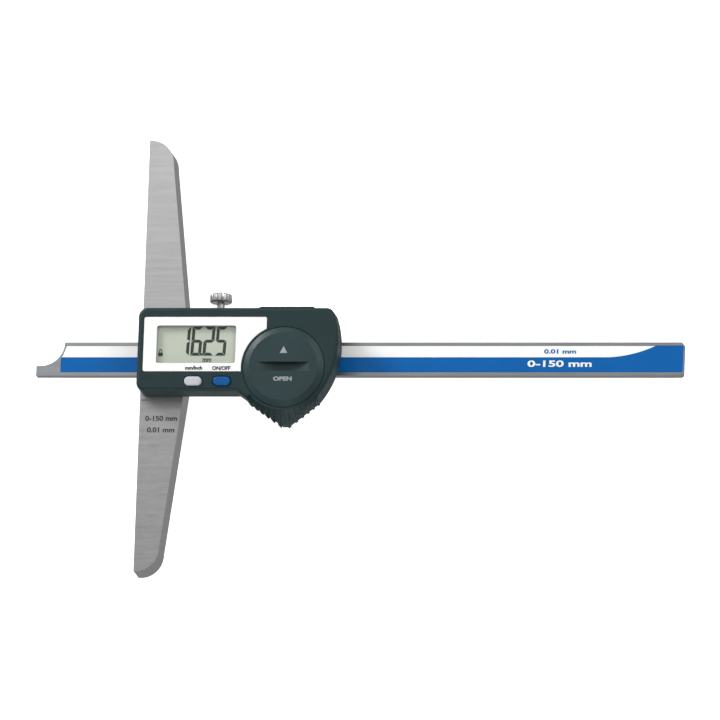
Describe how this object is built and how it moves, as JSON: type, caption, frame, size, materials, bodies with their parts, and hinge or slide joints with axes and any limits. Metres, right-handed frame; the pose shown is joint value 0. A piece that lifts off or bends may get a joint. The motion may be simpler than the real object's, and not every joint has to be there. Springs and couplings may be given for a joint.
{
  "type": "digital depth gauge",
  "caption": "Digital depth gauge: a flat steel rod with a hooked measuring tip slides through a tapered bridge under a display unit with buttons, a lock screw and a coin-slot battery cover.",
  "frame": {"origin": "in the plane of the bridge's measuring face, on the rod's centre line, level with the back of the bridge", "axes": "+X along the rod, from the measuring face towards the rod's free end; +Y along the bridge, towards the lock screw; +Z out of the display"},
  "size_m": [0.2224, 0.15, 0.0222],
  "materials": {
    "rod_steel": "ground lengthwise, satin",
    "bridge_steel": "fine ground lapping lines, satin",
    "frame_steel": "milled and lightly blasted",
    "screw_steel": "bright turned",
    "lock_steel": "bright plated, coarse flutes",
    "spring_metal": "nickel-plated spring strip",
    "brass": "turned, dull",
    "cell_steel": "nickel-plated can",
    "housing_plastic": "fine moulded texture",
    "cover_plastic": "fine moulded texture, slight wear on the rim",
    "face_plastic": "printed satin film",
    "label_film": "printed film, semi-gloss",
    "button_grey": "soft moulded",
    "button_blue": "soft moulded",
    "clear_window": "clear moulded",
    "lcd_glass": "reflective liquid-crystal panel",
    "board": "solder mask",
    "chip_plastic": "moulded epoxy",
    "rubber": "moulded",
    "felt": "pressed felt"
  },
  "bodies": {
    "slider": {"bridge": "bridge_steel", "slider_frame": "frame_steel", "bridge_screw_1": "screw_steel", "bridge_screw_2": "screw_steel", "bridge_screw_3": "screw_steel", "bridge_screw_4": "screw_steel", "module_screw_1": "screw_steel", "module_screw_2": "screw_steel", "module_screw_3": "screw_steel", "module_screw_4": "screw_steel", "gib_strip": "brass", "gib_screw_1": "screw_steel", "gib_screw_2": "screw_steel", "rod_wiper_front": "felt", "rod_wiper_rear": "felt", "sensor_board": "board", "sensor_header": "chip_plastic", "housing_base": "housing_plastic", "housing_shell": "housing_plastic", "base_screw_1": "screw_steel", "base_screw_2": "screw_steel", "base_screw_3": "screw_steel", "base_screw_4": "screw_steel", "face_plate": "face_plastic", "display_window": "clear_window", "lcd_panel": "lcd_glass", "zebra_strip_upper": "rubber", "zebra_strip_lower": "rubber", "circuit_board": "board", "controller_chip": "chip_plastic", "quartz_crystal": "cell_steel", "battery_cell": "cell_steel", "battery_contact_negative": "spring_metal", "battery_contact_positive": "spring_metal", "button_dome_units": "spring_metal", "button_dome_power": "spring_metal", "data_contact_block": "chip_plastic", "data_contact_1": "brass", "data_contact_2": "brass", "data_contact_3": "brass", "data_contact_4": "brass"},
    "rod": {"depth_rod": "rod_steel", "scale_strip": "board", "scale_label": "label_film", "rod_stop_screw": "screw_steel"},
    "lock_pad": {"lock_pad": "brass"},
    "lock_screw": {"lock_screw": "lock_steel"},
    "units_button": {"units_button": "button_grey"},
    "power_button": {"power_button": "button_blue"},
    "battery_cover": {"battery_cover": "cover_plastic", "cover_seal": "rubber"},
    "data_port_cover": {"data_port_cover": "housing_plastic"}
  },
  "joints": [
    {"name": "rod_slide", "type": "slide", "parent": "slider", "child": "rod", "axis": [-1, 0, 0], "range_m": [-0.0371, 0.1129]},
    {"name": "lock_pad_slide", "type": "slide", "parent": "slider", "child": "lock_pad", "axis": [0, -1, 0], "range_m": [-0.00045, 0.000225]},
    {"name": "lock_screw_turn", "type": "hinge", "parent": "lock_pad", "child": "lock_screw", "pos_m": [0.0255, 0.0085, 0.00405], "axis": [0, -1, 0], "range_deg": [-361, 181]},
    {"name": "units_button_press", "type": "slide", "parent": "slider", "child": "units_button", "axis": [0, 0, -1], "range_m": [0, 0.0004], "stiffness_N_per_m": 1500},
    {"name": "power_button_press", "type": "slide", "parent": "slider", "child": "power_button", "axis": [0, 0, -1], "range_m": [0, 0.0004], "stiffness_N_per_m": 1500},
    {"name": "battery_cover_turn", "type": "hinge", "parent": "slider", "child": "battery_cover", "pos_m": [0.0507, -0.0063, 0.021], "axis": [0, 0, 1], "range_deg": [0, 45]},
    {"name": "data_cover_lift", "type": "slide", "parent": "slider", "child": "data_port_cover", "axis": [0, 1, 0], "range_m": [0, 0.012]}
  ],
  "couplings": [
    {"joint": "lock_screw_turn", "follows": "lock_pad_slide", "rad_per_m": 13963}
  ]
}
